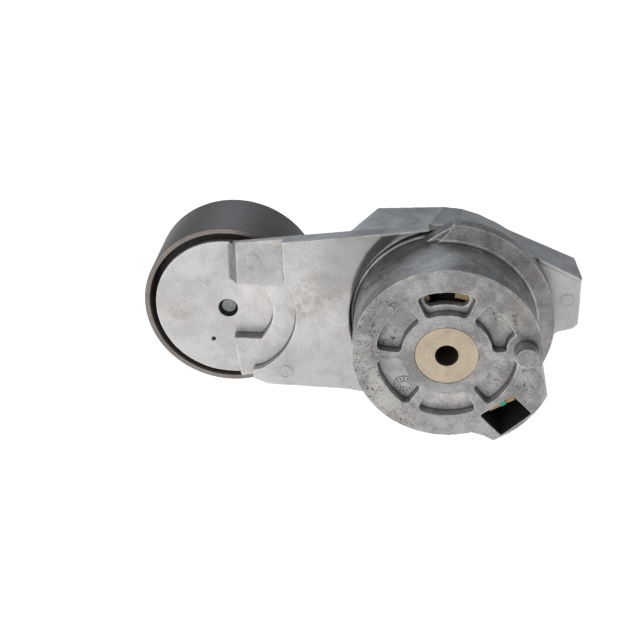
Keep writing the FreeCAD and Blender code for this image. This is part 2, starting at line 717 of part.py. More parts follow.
def make_pulley_pieces():
    """Pulley shell, bearing rings, seals and the snap ring that keeps the bearing in."""
    shell = turned("pulley_shell", [
        ("shoulder_bore", "shoulder_front"), ("pulley_hub", "shoulder_front"),
        ("pulley_hub", "web_front"), ("rim_inner", "web_front"),
        ("rim_inner", "rim_front"), ("rim_chamfer", "rim_front"),
        ("pulley_radius", "rim_chamfer_front"), ("pulley_radius", "rim_chamfer_back"),
        ("rim_chamfer", "rim_back"), ("rim_inner", "rim_back"),
        ("rim_inner", "web_back"), ("pulley_hub", "web_back"),
        ("pulley_hub", "pulley_hub_back"), ("bearing_radius", "pulley_hub_back"),
        ("bearing_radius", "snap_back"), ("snap_groove", "snap_back"),
        ("snap_groove", "snap_front"), ("bearing_radius", "snap_front"),
        ("bearing_radius", "bearing_front"), ("shoulder_bore", "bearing_front")], True)
    outer = turned("bearing_outer_ring", [
        ("outer_ring_inner", "bearing_front"), ("bearing_radius", "bearing_front"),
        ("bearing_radius", "bearing_back"), ("outer_ring_inner", "bearing_back"),
        ("outer_ring_inner", "race_back", "race_radius", -1),
        ("outer_ring_inner", "race_front")], True)
    inner = turned("bearing_inner_ring", [
        ("bearing_bore", "bearing_front"), ("inner_ring_outer", "bearing_front"),
        ("inner_ring_outer", "race_front", "race_radius", -1),
        ("inner_ring_outer", "race_back"), ("inner_ring_outer", "bearing_back"),
        ("bearing_bore", "bearing_back")], True)
    seals = [ring("bearing_seal_front", "seal_bore", "outer_ring_inner",
                  "seal_one_front", "seal_one_back", True),
             ring("bearing_seal_rear", "seal_bore", "outer_ring_inner",
                  "seal_two_front", "seal_two_back", True)]
    snap = ring("bearing_snap_ring", "snap_bore", "snap_radius",
                "snap_front", "snap_back", True)
    opening = [(-3.0, -26.0), (3.0, -26.0), (3.0, 0.0), (-3.0, 0.0)]
    cut_outline(snap, "snap_opening", "snap_front", "snap_back", opening)
    return [shell, outer, inner, snap] + seals


def make_ball_set():
    """Bearing balls on their circle, and the cage that spaces them."""
    balls = []
    for index in range(BALLS):
        ball = doc.addObject("Part::Sphere", "ball_%d" % (index + 1))
        ball.setExpression("Radius", cell("ball_radius"))
        x, z = polar(DIMS["ball_circle"], 360.0 * index / BALLS)
        ball.Placement.Base = Vector(x, DIMS["bearing_middle"], z)
        balls.append(ball)
    group = doc.addObject("Part::Compound", "bearing_balls")
    group.Label = "bearing_balls"
    group.Links = balls
    move_to_pulley(group)
    cage = ring("bearing_cage", "cage_inner", "cage_outer", "cage_front", "cage_back", True)
    sketch = new_sketch(cage, "cage_pocket_sketch", "YZ_Plane")
    draw_circle(sketch, "cage_pocket", ("bearing_middle", "on_axis"))
    doc.recompute()
    before = cage.Shape.Volume
    pocket = cage.newObject("PartDesign::Pocket", "cage_pocket_cut")
    pocket.Profile = sketch
    pocket.Reversed = True
    pocket.setExpression("Length", cell("bearing_radius"))
    pattern = cage.newObject("PartDesign::PolarPattern", "cage_pockets")
    pattern.Originals = [pocket]
    pattern.Axis = (origin_plane(cage, "Y_Axis"), [""])
    pattern.Angle = 360.0
    pattern.Occurrences = BALLS
    cage.Tip = pattern
    doc.recompute()
    if cage.Shape.Volume > before - 1.0:
        raise RuntimeError("the cage has no pockets")
    return [group, cage]


# ---------------------------------------------------------------- build, test and write
def write_parts(pieces):
    """Test every object and sub-part, then write one STEP file for each sub-part."""
    doc.recompute()
    for item in doc.Objects:
        if "Invalid" in item.State or "Error" in item.State:
            raise RuntimeError("%s failed: %s" % (item.Name, item.State))
    os.makedirs("parts", exist_ok=True)
    for piece in pieces:
        shape = piece.Shape
        if shape.isNull() or not shape.isValid() or shape.Volume <= 0:
            raise RuntimeError("%s has no valid shape" % piece.Label)
        shape.exportStep("parts/%s.step" % piece.Label)
        print("%-22s %9.1f mm3  %d solid(s)" % (piece.Label, shape.Volume, len(shape.Solids)))


parts = [make_base_housing()] + make_fixed_pieces() + [make_torsion_spring()]
parts += make_arm_pieces() + make_bolt_and_washers() + make_pulley_pieces() + make_ball_set()
write_parts(parts)
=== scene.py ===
"""Looks of a belt tensioner idler: cast housing and arm, turned spindle, steel pulley and bearing."""
import logging
import math
from dataclasses import dataclass
from enum import Enum
from typing import Iterable, Protocol, Sequence

import bmesh
import bpy
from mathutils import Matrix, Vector


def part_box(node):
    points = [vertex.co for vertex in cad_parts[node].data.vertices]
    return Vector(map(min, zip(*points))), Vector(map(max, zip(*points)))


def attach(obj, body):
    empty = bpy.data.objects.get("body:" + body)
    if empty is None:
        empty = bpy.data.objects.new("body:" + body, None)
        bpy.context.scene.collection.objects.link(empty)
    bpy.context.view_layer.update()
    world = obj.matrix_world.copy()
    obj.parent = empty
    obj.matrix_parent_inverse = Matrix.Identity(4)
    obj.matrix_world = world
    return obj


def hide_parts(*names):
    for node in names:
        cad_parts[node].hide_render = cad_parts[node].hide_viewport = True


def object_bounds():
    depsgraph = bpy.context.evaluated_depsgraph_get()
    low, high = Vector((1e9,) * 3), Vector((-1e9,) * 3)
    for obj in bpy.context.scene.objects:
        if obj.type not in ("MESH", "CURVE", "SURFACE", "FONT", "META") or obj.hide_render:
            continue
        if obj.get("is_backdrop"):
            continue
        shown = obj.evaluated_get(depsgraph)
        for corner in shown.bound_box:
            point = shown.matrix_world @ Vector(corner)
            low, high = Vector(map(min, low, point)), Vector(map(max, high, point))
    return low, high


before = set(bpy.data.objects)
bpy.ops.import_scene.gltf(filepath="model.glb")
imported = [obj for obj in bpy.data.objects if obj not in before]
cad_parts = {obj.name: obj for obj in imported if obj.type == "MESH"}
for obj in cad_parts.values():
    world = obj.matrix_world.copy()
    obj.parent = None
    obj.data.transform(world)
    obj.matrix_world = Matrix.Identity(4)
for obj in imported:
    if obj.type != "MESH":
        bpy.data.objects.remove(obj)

MM = 0.001
# a raised mark starts this far below the face it stands on, in millimetres
MARK_ROOT = 0.08
log = logging.getLogger("tensioner")

Colour = tuple[float, float, float]
Socket = bpy.types.NodeSocket
Node = bpy.types.ShaderNode


class Slot(Enum):
    """Names of the material slots that the finishes carry."""

    CAST = "cast_aluminium"
    STEEL = "turned_steel"
    PULLEY = "pulley_steel"
    BEARING = "bearing_steel"
    POLYMER = "tan_polymer"
    RUBBER = "seal_rubber"
    ZINC = "zinc_steel"
    GREEN = "green_polymer"
    SPRING = "spring_steel"


class Body(Enum):
    """CAD bodies that new pieces ride on."""

    BASE = "base"
    ARM = "arm"
    PULLEY = "pulley"


class Finish(Protocol):
    """What every finish offers: its name, the name of a material slot and a way to build its material."""

    name: str
    slot: Slot

    def build(self) -> bpy.types.Material:
        """Build the material."""


# ------------------------------------------------------------------ shader sketching
class Sketch:
    """A material under construction: a Principled shader and short calls for the nodes it uses."""

    def __init__(self, name: str, roughness: float, metallic: float) -> None:
        """Start a material.

        Args:
            name: the material's name.
            roughness: roughness where nothing else drives it.
            metallic: how much of the surface is bare metal.
        """
        self.material = bpy.data.materials.new(name)
        self.material.use_nodes = True
        self.tree = self.material.node_tree
        self.shader = self.tree.nodes["Principled BSDF"]
        self.shader.inputs["Roughness"].default_value = roughness
        self.shader.inputs["Metallic"].default_value = metallic
        self.place = self.node("ShaderNodeTexCoord").outputs["Object"]

    def node(self, kind: str, **settings: object) -> Node:
        """Add a node and set its properties."""
        made = self.tree.nodes.new(kind)
        for key, value in settings.items():
            setattr(made, key, value)
        return made

    def join(self, source: Socket, target: Socket) -> None:
        """Link two sockets."""
        self.tree.links.new(source, target)

    def feed(self, target: Socket, value: object) -> None:
        """Link a socket or set a constant on an input."""
        if isinstance(value, bpy.types.NodeSocket):
            self.join(value, target)
        else:
            target.default_value = value

    def stretch(self, scale: Sequence[float], vector: Socket | None = None) -> Socket:
        """Scale the coordinates unevenly, as for grain that runs one way.

        Args:
            scale: factors along X, Y and Z.
            vector: coordinates, the object's own by default.

        Returns:
            The scaled coordinates.
        """
        made = self.node("ShaderNodeMapping")
        self.join(vector or self.place, made.inputs["Vector"])
        made.inputs["Scale"].default_value = scale
        return made.outputs["Vector"]

    def noise(self, size: float, detail: float = 3.0, rough: float = 0.55,
              twist: float = 0.0, vector: Socket | None = None) -> Socket:
        """Fractal noise.

        Args:
            size: size of the largest blotches in metres.
            detail: number of octaves.
            rough: weight of the finer octaves.
            twist: distortion of the pattern.
            vector: coordinates, the object's own by default.

        Returns:
            The noise value, about 0.5 on average.
        """
        made = self.node("ShaderNodeTexNoise")
        self.join(vector or self.place, made.inputs["Vector"])
        made.inputs["Scale"].default_value = 1.0 / size
        made.inputs["Detail"].default_value = detail
        made.inputs["Roughness"].default_value = rough
        made.inputs["Distortion"].default_value = twist
        return made.outputs["Fac"]

    def maths(self, kind: str, first: object, second: object = 0.0,
              third: object = 0.0) -> Socket:
        """Take one arithmetic step on two or three values.

        Args:
            kind: the operation's name.
            first: first value, a socket or a number.
            second: second value.
            third: third value, for operations that have one.

        Returns:
            The result.
        """
        made = self.node("ShaderNodeMath", operation=kind)
        for target, value in zip(made.inputs, (first, second, third)):
            self.feed(target, value)
        return made.outputs[0]

    def span(self, value: Socket, low: float, high: float,
             to_low: float = 0.0, to_high: float = 1.0) -> Socket:
        """Map a value from one range to another, clamped and eased.

        Args:
            value: the value to map.
            low: where the incoming range starts.
            high: where it ends.
            to_low: result at the start.
            to_high: result at the end.

        Returns:
            The mapped value.
        """
        made = self.node("ShaderNodeMapRange", interpolation_type="SMOOTHSTEP")
        self.join(value, made.inputs["Value"])
        for key, number in (("From Min", low), ("From Max", high),
                            ("To Min", to_low), ("To Max", to_high)):
            made.inputs[key].default_value = number
        return made.outputs["Result"]

    def blend(self, share: object, first: object, second: object,
              kind: str = "MIX") -> Socket:
        """Mix two colours.

        Args:
            share: share of the second colour.
            first: first colour, a socket or three numbers.
            second: second colour.
            kind: the way they mix.

        Returns:
            The mixed colour.
        """
        made = self.node("ShaderNodeMix", data_type="RGBA", blend_type=kind)
        self.feed(made.inputs[0], share)
        for target, value in ((made.inputs[6], first), (made.inputs[7], second)):
            self.feed(target, (*value, 1.0) if isinstance(value, tuple) else value)
        return made.outputs[2]

    def axes(self) -> tuple[Socket, Socket, Socket]:
        """Return the object's X, Y and Z coordinates as separate values."""
        made = self.node("ShaderNodeSeparateXYZ")
        self.join(self.place, made.inputs[0])
        return made.outputs[0], made.outputs[1], made.outputs[2]

    def facing(self) -> tuple[Socket, Socket, Socket]:
        """Return the components of the object-space normal."""
        made = self.node("ShaderNodeSeparateXYZ")
        normal = self.node("ShaderNodeTexCoord").outputs["Normal"]
        self.join(normal, made.inputs[0])
        return made.outputs[0], made.outputs[1], made.outputs[2]

    def distance(self, x: float, z: float) -> Socket:
        """Measure the distance from a line parallel to Y.

        Args:
            x: the line's X in metres.
            z: the line's Z in metres.

        Returns:
            The distance in the XZ plane.
        """
        across, _, up = self.axes()
        dx = self.maths("SUBTRACT", across, x)
        dz = self.maths("SUBTRACT", up, z)
        squares = self.maths("ADD", self.maths("MULTIPLY", dx, dx), self.maths("MULTIPLY", dz, dz))
        return self.maths("SQRT", squares)

    def turned(self, x: float, z: float, pitch: float) -> Socket:
        """Draw fine circular marks, as a lathe leaves them.

        Args:
            x: X of the axis, which is parallel to Y, in metres.
            z: Z of the axis in metres.
            pitch: spacing of the marks in metres.

        Returns:
            The height of the marks.
        """
        reach = self.distance(x, z)
        lines = self.node("ShaderNodeCombineXYZ")
        self.join(reach, lines.inputs[0])
        return self.noise(pitch, 2.0, 0.6, 0.0, lines.outputs[0])

    def edges(self, low: float, high: float) -> Socket:
        """Share of convex edge, or of concave crease when low is above high, from the surface's
        pointiness.
        """
        point = self.node("ShaderNodeNewGeometry").outputs["Pointiness"]
        return self.span(point, low, high)

    def bump(self, height: Socket, depth: float, under: Socket | None = None) -> Socket:
        """Add a bump of a real depth.

        Args:
            height: height of the surface, about 0 to 1.
            depth: depth in metres that a height of 1 stands for.
            under: an earlier bump to add this one to.

        Returns:
            The bumped normal.
        """
        made = self.node("ShaderNodeBump")
        made.inputs["Strength"].default_value = 1.0
        made.inputs["Distance"].default_value = depth
        self.join(height, made.inputs["Height"])
        if under is not None:
            self.join(under, made.inputs["Normal"])
        return made.outputs["Normal"]

    def finish(self, colour: object, roughness: Socket | None = None,
               normal: Socket | None = None) -> bpy.types.Material:
        """Connect what drives the shader.

        Args:
            colour: base colour, a socket or three numbers.
            roughness: roughness, where it varies.
            normal: normal, where it is bumped.

        Returns:
            The finished material.
        """
        self.feed(self.shader.inputs["Base Color"],
                  (*colour, 1.0) if isinstance(colour, tuple) else colour)
        if roughness is not None:
            self.join(roughness, self.shader.inputs["Roughness"])
        if normal is not None:
            self.join(normal, self.shader.inputs["Normal"])
        return self.material


# ------------------------------------------------------------------ finishes
@dataclass(frozen=True)
class Spot:
    """A round region of a face, in millimetres."""

    x: float
    z: float
    radius: float


@dataclass(frozen=True)
class Slab:
    """A box along the axes, in millimetres, that a tone is limited to."""

    x: tuple[float, float]
    y: tuple[float, float]
    z: tuple[float, float]

    def mask(self, ink: Sketch, soft: float, side: float | None = None) -> Socket:
        """Share that is 1 inside the box and falls to 0 over a soft edge.

        Args:
            ink: the material under construction.
            soft: softness along Y in millimetres.
            side: softness along X and Z in millimetres, the same as along Y by default.

        Returns:
            The share.
        """
        share: object = 1.0
        side = soft if side is None else side
        for value, (low, high), blur in zip(ink.axes(), (self.x, self.y, self.z),
                                            (side, soft, side)):
            rise = ink.span(value, (low - blur) * MM, (low + blur) * MM)
            fall = ink.span(value, (high + blur) * MM, (high - blur) * MM)
            share = ink.maths("MULTIPLY", share, ink.maths("MULTIPLY", rise, fall))
        return share


@dataclass(frozen=True)
class Well:
    """Inside of a square-sided hollow turned about Y, in millimetres and degrees."""

    x: float
    z: float
    turn: float
    half: tuple[float, float]
    y: tuple[float, float]

    def mask(self, ink: Sketch, soft: float) -> Socket:
        """Share that is 1 inside the hollow and falls to 0 over a soft edge.

        Args:
            ink: the material under construction.
            soft: softness of the edge in millimetres.

        Returns:
            The share.
        """
        across, y, up = ink.axes()
        dx = ink.maths("SUBTRACT", across, self.x * MM)
        dz = ink.maths("SUBTRACT", up, self.z * MM)
        share = ink.maths("MULTIPLY", ink.span(y, (self.y[0] - soft) * MM, (self.y[0] + soft) * MM),
                          ink.span(y, (self.y[1] + soft) * MM, (self.y[1] - soft) * MM))
        for angle, half in zip((self.turn, self.turn - 90.0), self.half):
            way = math.radians(angle)
            reach = ink.maths("ADD", ink.maths("MULTIPLY", dx, math.cos(way)),
                              ink.maths("MULTIPLY", dz, math.sin(way)))
            inside = ink.span(ink.maths("ABSOLUTE", reach), (half + soft) * MM, (half - soft) * MM)
            share = ink.maths("MULTIPLY", share, inside)
        return share


@dataclass(frozen=True)
class Trace:
    """A thin broken line round a centre: a turned or worn mark on a face, or a painted highlight or
    painted shade line.

    Attributes:
        x: X of the centre in millimetres.
        z: Z of the centre.
        radius: radius of the line.
        width: distance at which the line has faded out.
        strength: share of its tone at full strength.
        tone: its colour.
        y: levels between which it shows.
        gaps: strength left in its gaps.
    """

    x: float
    z: float
    radius: float
    width: float
    strength: float
    tone: Colour
    y: tuple[float, float]
    gaps: float = 0.15

    def mask(self, ink: Sketch) -> Socket:
        """Share of the line, weaker in its gaps.

        Args:
            ink: the material under construction.

        Returns:
            The share.
        """
        gap = ink.maths("SUBTRACT", ink.distance(self.x * MM, self.z * MM), self.radius * MM)
        line = ink.span(ink.maths("ABSOLUTE", gap), self.width * MM, self.width * 0.3 * MM)
        broken = ink.span(ink.noise(0.005, 3.0, 0.6), 0.42, 0.56, self.gaps, 1.0)
        _, y, _ = ink.axes()
        level = ink.maths("MULTIPLY", ink.span(y, (self.y[0] - 0.2) * MM, self.y[0] * MM),
                          ink.span(y, (self.y[1] + 0.2) * MM, self.y[1] * MM))
        share = ink.maths("MULTIPLY", ink.maths("MULTIPLY", line, broken), level)
        return ink.maths("MULTIPLY", share, self.strength)


@dataclass(frozen=True)
class CastAluminium:
    """Skin of a pressure die casting: mottled and grainy, with painted shade in its creases.

    Attributes:
        name: the material's name.
        light: tone of the clean skin.
        dark: tone of the duller patches.
        seed: shift of every pattern, so that two castings differ.
        grain: strength of the fine speckle.
        flow: strength of the thin dark fronts the metal leaves where it stops flowing.
        flow_at: where those fronts gather.
        stains: brownish stains.
        shades: boxes where the skin is darker, with how much darker.
        hollow: hollows whose inside is painted black as shade.
        levels: boxes where the skin is lighter or darker by a factor.
        traces: thin lines worn or turned into the skin, and painted highlight and shade lines.
        top_shade: factor of painted shade on the flat faces that look up.
        metallic: how much of the skin is bare metal.
        slot: the name of its material slot, not used.
    """

    name: str
    light: Colour
    dark: Colour
    seed: float
    grain: float
    flow: float
    flow_at: tuple[Spot, ...] = ()
    stains: tuple[Spot, ...] = ()
    shades: tuple[tuple[Slab, float], ...] = ()
    hollow: tuple[Well, ...] = ()
    levels: tuple[tuple[Slab, float], ...] = ()
    traces: tuple[Trace, ...] = ()
    top_shade: float = 1.0
    metallic: float = 0.62
    slot: Slot = Slot.CAST

    def build(self) -> bpy.types.Material:
        """Build the casting's material."""
        ink = Sketch(self.name, 0.5, self.metallic)
        moved = ink.node("ShaderNodeMapping")
        ink.join(ink.place, moved.inputs["Vector"])
        moved.inputs["Location"].default_value = (self.seed, self.seed * 0.7, -self.seed)
        there = moved.outputs["Vector"]
        cloud = ink.noise(0.030, 4.0, 0.60, 0.5, there)
        patch = ink.noise(0.007, 4.0, 0.62, 0.4, there)
        speck = ink.noise(0.0009, 2.0, 0.7, 0.0, there)
        tone = ink.maths("ADD", ink.maths("MULTIPLY", cloud, 0.5), ink.maths("MULTIPLY", patch, 0.5))
        colour = ink.blend(ink.span(tone, 0.40, 0.62), self.dark, self.light)
        fleck = ink.maths("MULTIPLY_ADD", ink.maths("SUBTRACT", speck, 0.5), self.grain, 1.0)
        for slab, factor in self.levels:
            step = ink.maths("MULTIPLY_ADD", slab.mask(ink, 0.4, 6.0), factor - 1.0, 1.0)
            fleck = ink.maths("MULTIPLY", fleck, step)
        # Painted shade: flat faces that look up are darker by this factor.
        _, _, upward = ink.facing()
        fleck = ink.maths("MULTIPLY", fleck, ink.span(upward, 0.965, 0.993, 1.0, self.top_shade))
        colour = ink.blend(1.0, colour, self.grey(ink, fleck), "MULTIPLY")
        colour = self.add_flow(ink, colour, there)
        colour = self.add_stains(ink, colour)
        for slab, share in self.shades:
            broken = ink.span(ink.noise(0.004, 3.0, 0.6), 0.25, 0.75, 0.55, 1.0)
            mask = ink.maths("MULTIPLY", slab.mask(ink, 0.3), broken)
            colour = ink.blend(ink.maths("MULTIPLY", mask, share), colour, (0.11, 0.105, 0.10))
        # Painted shade: concave creases are darkened, from the surface's pointiness.
        crease_shade = ink.maths("MULTIPLY", ink.edges(0.498, 0.468), 0.8)
        colour = ink.blend(crease_shade, colour, (0.055, 0.053, 0.052))
        worn = ink.maths("MULTIPLY", ink.edges(0.506, 0.545), ink.span(patch, 0.40, 0.58, 0.2, 0.7))
        colour = ink.blend(worn, colour, (0.78, 0.775, 0.76))
        for trace in self.traces:
            colour = ink.blend(trace.mask(ink), colour, trace.tone)
        # Painted shade: each hollow's inside is painted black and loses its metal.
        for slab in self.hollow:
            inside = slab.mask(ink, 0.15)
            colour = ink.blend(inside, colour, (0.028, 0.028, 0.028))
            self.dull(ink, inside)
        rough = ink.span(ink.maths("ADD", patch, ink.maths("MULTIPLY", speck, 0.3)),
                         0.40, 0.90, 0.38, 0.60)
        height = ink.maths("ADD", ink.maths("MULTIPLY", patch, 0.6), ink.maths("MULTIPLY", speck, 0.8))
        return ink.finish(colour, rough, ink.bump(height, 0.00010))

    def grey(self, ink: Sketch, value: Socket) -> Socket:
        """Turn a value into a grey colour.

        Args:
            ink: the material under construction.
            value: the grey's level.

        Returns:
            The colour.
        """
        made = ink.node("ShaderNodeCombineColor")
        for channel in made.inputs:
            ink.join(value, channel)
        return made.outputs[0]

    def dull(self, ink: Sketch, share: Socket) -> None:
        """Take the metal away where the inside of a hollow is painted black as shade."""
        left = ink.maths("MULTIPLY", ink.maths("SUBTRACT", 1.0, share), self.metallic)
        ink.join(left, ink.shader.inputs["Metallic"])

    def add_flow(self, ink: Sketch, colour: Socket, there: Socket) -> Socket:
        """Draw the thin dark fronts, with a paler skin beside them.

        Args:
            ink: the material under construction.
            colour: the skin so far.
            there: the shifted coordinates of this casting.

        Returns:
            The skin with the fronts.
        """
        if not self.flow_at:
            return colour
        front = ink.noise(0.011, 3.0, 0.55, 0.9, there)
        where: object = 0.0
        for spot in self.flow_at:
            reach = ink.distance(spot.x * MM, spot.z * MM)
            near = ink.span(reach, spot.radius * MM, spot.radius * 0.55 * MM)
            where = ink.maths("MAXIMUM", where, near)
        for level, strength in ((0.46, 0.9), (0.53, 1.0), (0.60, 0.8)):
            ridge = ink.maths("ABSOLUTE", ink.maths("SUBTRACT", front, level))
            line = ink.maths("MULTIPLY", ink.span(ridge, 0.0100, 0.0020), where)
            share = ink.maths("MULTIPLY", line, self.flow * strength)
            colour = ink.blend(share, colour, (0.078, 0.068, 0.060))
        pale = ink.maths("MULTIPLY", ink.span(front, 0.52, 0.60), where)
        return ink.blend(ink.maths("MULTIPLY", pale, 0.35), colour, (0.62, 0.60, 0.57))

    def add_stains(self, ink: Sketch, colour: Socket) -> Socket:
        """Add broken brownish stains.

        Args:
            ink: the material under construction.
            colour: the skin so far.

        Returns:
            The skin with the stains.
        """
        for spot in self.stains:
            reach = ink.distance(spot.x * MM, spot.z * MM)
            near = ink.span(reach, spot.radius * MM, spot.radius * 0.3 * MM)
            broken = ink.span(ink.noise(0.005, 4.0, 0.7), 0.42, 0.62)
            share = ink.maths("MULTIPLY", ink.maths("MULTIPLY", near, broken), 0.4)
            colour = ink.blend(share, colour, (0.26, 0.22, 0.185))
        return colour


@dataclass(frozen=True)
class TurnedSteel:
    """Bare turned steel about an axis parallel to Y."""

    name: str
    light: Colour
    dark: Colour
    slot: Slot
    axis: tuple[float, float] = (0.0, 0.0)
    roughness: float = 0.38
    pitch: float = 0.0006
    depth: float = 0.000012
    metallic: float = 0.9
    bore: float = 0.0

    def build(self) -> bpy.types.Material:
        """Build the turned metal's material, dark inside its bore where it has one."""
        ink = Sketch(self.name, self.roughness, self.metallic)
        marks = ink.turned(*self.axis, self.pitch)
        cloud = ink.noise(0.008, 4.0, 0.6, 0.4)
        speck = ink.noise(0.0009, 2.0, 0.6)
        tone = ink.maths("ADD", ink.maths("MULTIPLY", cloud, 0.6), ink.maths("MULTIPLY", marks, 0.3))
        tone = ink.maths("ADD", tone, ink.maths("MULTIPLY", speck, 0.2))
        colour = ink.blend(ink.span(tone, 0.38, 0.72), self.dark, self.light)
        if self.bore > 0:
            inside = ink.span(ink.distance(*self.axis), (self.bore + 0.08) * MM, self.bore * MM)
            colour = ink.blend(inside, colour, (0.10, 0.075, 0.06))
        rough = ink.span(cloud, 0.3, 0.7, self.roughness - 0.07, self.roughness + 0.1)
        normal = ink.bump(ink.maths("ADD", marks, ink.maths("MULTIPLY", speck, 0.5)), self.depth)
        return ink.finish(colour, rough, normal)


@dataclass(frozen=True)
class PulleySteel:
    """Dark satin steel of the pulley, with a browner, brighter cut face at its rims."""

    name: str
    axis: tuple[float, float]
    rim_front: float
    rim_back: float
    slot: Slot = Slot.PULLEY

    def build(self) -> bpy.types.Material:
        """Build the pulley's material."""
        ink = Sketch(self.name, 0.5, 0.25)
        cloud = ink.noise(0.02, 4.0, 0.6, 0.5)
        around = ink.noise(0.0012, 3.0, 0.6, 0.0, ink.stretch((0.15, 1.0, 0.15)))
        tone = ink.maths("ADD", ink.maths("MULTIPLY", cloud, 0.6), ink.maths("MULTIPLY", around, 0.45))
        outer = ink.blend(ink.span(tone, 0.35, 0.75), (0.128, 0.116, 0.110), (0.175, 0.160, 0.151))
        _, lengthwise, _ = ink.facing()
        cut = ink.span(ink.maths("ABSOLUTE", lengthwise), 0.8, 0.95)
        _, y, _ = ink.axes()
        at_front = ink.span(y, self.rim_front + 0.003, self.rim_front + 0.001)
        at_back = ink.span(y, self.rim_back - 0.003, self.rim_back - 0.001)
        cut = ink.maths("MULTIPLY", cut, ink.maths("MAXIMUM", at_front, at_back))
        face = ink.blend(ink.span(tone, 0.35, 0.75), (0.19, 0.16, 0.145), (0.30, 0.265, 0.245))
        colour = ink.blend(cut, outer, face)
        worn = ink.edges(0.52, 0.58)
        colour = ink.blend(ink.maths("MULTIPLY", worn, 0.35), colour, (0.42, 0.40, 0.38))
        rough = ink.span(tone, 0.3, 0.8, 0.46, 0.6)
        normal = ink.bump(tone, 0.00002)
        return ink.finish(colour, rough, normal)


@dataclass(frozen=True)
class Moulded:
    """Matte moulded plastic or rubber."""

    name: str
    light: Colour
    dark: Colour
    slot: Slot
    roughness: float = 0.55

    def build(self) -> bpy.types.Material:
        """Build the moulding's material."""
        ink = Sketch(self.name, self.roughness, 0.0)
        cloud = ink.noise(0.006, 3.0, 0.6, 0.3)
        grain = ink.noise(0.0006, 2.0, 0.6)
        tone = ink.maths("ADD", ink.maths("MULTIPLY", cloud, 0.7), ink.maths("MULTIPLY", grain, 0.3))
        colour = ink.blend(ink.span(tone, 0.35, 0.65), self.dark, self.light)
        rough = ink.span(grain, 0.3, 0.7, self.roughness - 0.06, self.roughness + 0.08)
        return ink.finish(colour, rough, ink.bump(grain, 0.00003))


# ------------------------------------------------------------------ mesh helpers
MATERIALS: dict[str, bpy.types.Material] = {}


def shade(piece: bpy.types.Object, finish: Finish) -> None:
    """Give a piece one finish on every material slot.

    Args:
        piece: the piece to dress.
        finish: its finish, built once and then shared.
    """
    made = MATERIALS[finish.name] if finish.name in MATERIALS else finish.build()
    MATERIALS[finish.name] = made
    piece.data.materials.clear()
    piece.data.materials.append(made)


def dress_node(node: str, finish: Finish) -> None:
    """Put a finish on a CAD node that is shown as it is."""
    shade(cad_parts[node], finish)
    log.info("%s: dressed in %s", node, finish.name)


def cast_skin(node: str, name: str, voxel: float, passes: int) -> bpy.types.Object:
    """Copy a CAD casting and give it the softened edges of die-cast metal.

    Args:
        node: the CAD node to copy.
        name: the new piece's name.
        voxel: size of the remeshing grid in metres.
        passes: smoothing passes that round the edges.

    Returns:
        The new piece, linked to the scene.
    """
    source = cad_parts[node]
    piece = bpy.data.objects.new(name, source.data.copy())
    bpy.context.scene.collection.objects.link(piece)
    weld(piece)
    remesh = piece.modifiers.new("skin", "REMESH")
    remesh.mode = "VOXEL"
    remesh.voxel_size = voxel
    remesh.use_smooth_shade = True
    smooth = piece.modifiers.new("soften", "SMOOTH")
    smooth.factor = 0.5
    smooth.iterations = passes
    apply_modifiers(piece)
    return piece


def weld(piece: bpy.types.Object) -> None:
    """Merge the doubled points along a tessellated solid's edges."""
    work = bmesh.new()
    work.from_mesh(piece.data)
    bmesh.ops.remove_doubles(work, verts=work.verts, dist=1e-6)
    work.to_mesh(piece.data)
    work.free()


def apply_modifiers(piece: bpy.types.Object) -> None:
    """Replace a piece's mesh by the result of its modifiers."""
    graph = bpy.context.evaluated_depsgraph_get()
    result = bpy.data.meshes.new_from_object(piece.evaluated_get(graph))
    piece.modifiers.clear()
    piece.data = result


@dataclass(frozen=True)
class Corner:
    """A corner of a turned profile, in millimetres: radius, level along Y and rounding."""

    radius: float
    level: float
    rounding: float = 0.0


def round_profile(corners: Sequence[Corner], steps: int = 5) -> list[tuple[float, float]]:
    """Replace each rounded corner of a closed profile by a short curve.

    Args:
        corners: the profile's corners in order.
        steps: points on each curve.

    Returns:
        Points (radius, level) in millimetres.
    """
    points: list[tuple[float, float]] = []
    for index, corner in enumerate(corners):
        here = Vector((corner.radius, corner.level))
        if corner.rounding <= 0:
            points.append((here.x, here.y))
            continue
        before = corners[index - 1]
        after = corners[(index + 1) % len(corners)]
        back = Vector((before.radius, before.level)) - here
        ahead = Vector((after.radius, after.level)) - here
        reach = min(corner.rounding, back.length * 0.45, ahead.length * 0.45)
        start, end = here + back.normalized() * reach, here + ahead.normalized() * reach
        for step in range(steps + 1):
            t = step / steps
            point = start * (1 - t) ** 2 + here * 2 * t * (1 - t) + end * t * t
            points.append((point.x, point.y))
    return points


def lathe(name: str, corners: Sequence[Corner], axis: tuple[float, float],
          around: int = 160) -> bpy.types.Object:
    """Turn a closed profile about an axis parallel to Y.

    Args:
        name: the piece's name.
        corners: the profile's corners in order.
        axis: the axis's X and Z in metres.
        around: number of segments.

    Returns:
        The turned piece, linked to the scene.
    """
    profile = round_profile(corners)
    work = bmesh.new()
    rows = []
    for index in range(around):
        turn = 2 * math.pi * index / around
        rows.append([work.verts.new((axis[0] + r * MM * math.cos(turn), y * MM,
                                     axis[1] + r * MM * math.sin(turn))) for r, y in profile])
    count = len(profile)
    for index in range(around):
        row, following = rows[index], rows[(index + 1) % around]
        for step in range(count):
            ahead = (step + 1) % count
            work.faces.new((row[step], row[ahead], following[ahead], following[step]))
    bmesh.ops.remove_doubles(work, verts=work.verts, dist=1e-7)
    bmesh.ops.recalc_face_normals(work, faces=work.faces)
    mesh = bpy.data.meshes.new(name)
    work.to_mesh(mesh)
    work.free()
    piece = bpy.data.objects.new(name, mesh)
    bpy.context.scene.collection.objects.link(piece)
    smooth_by_angle(piece, 28.0)
    return piece


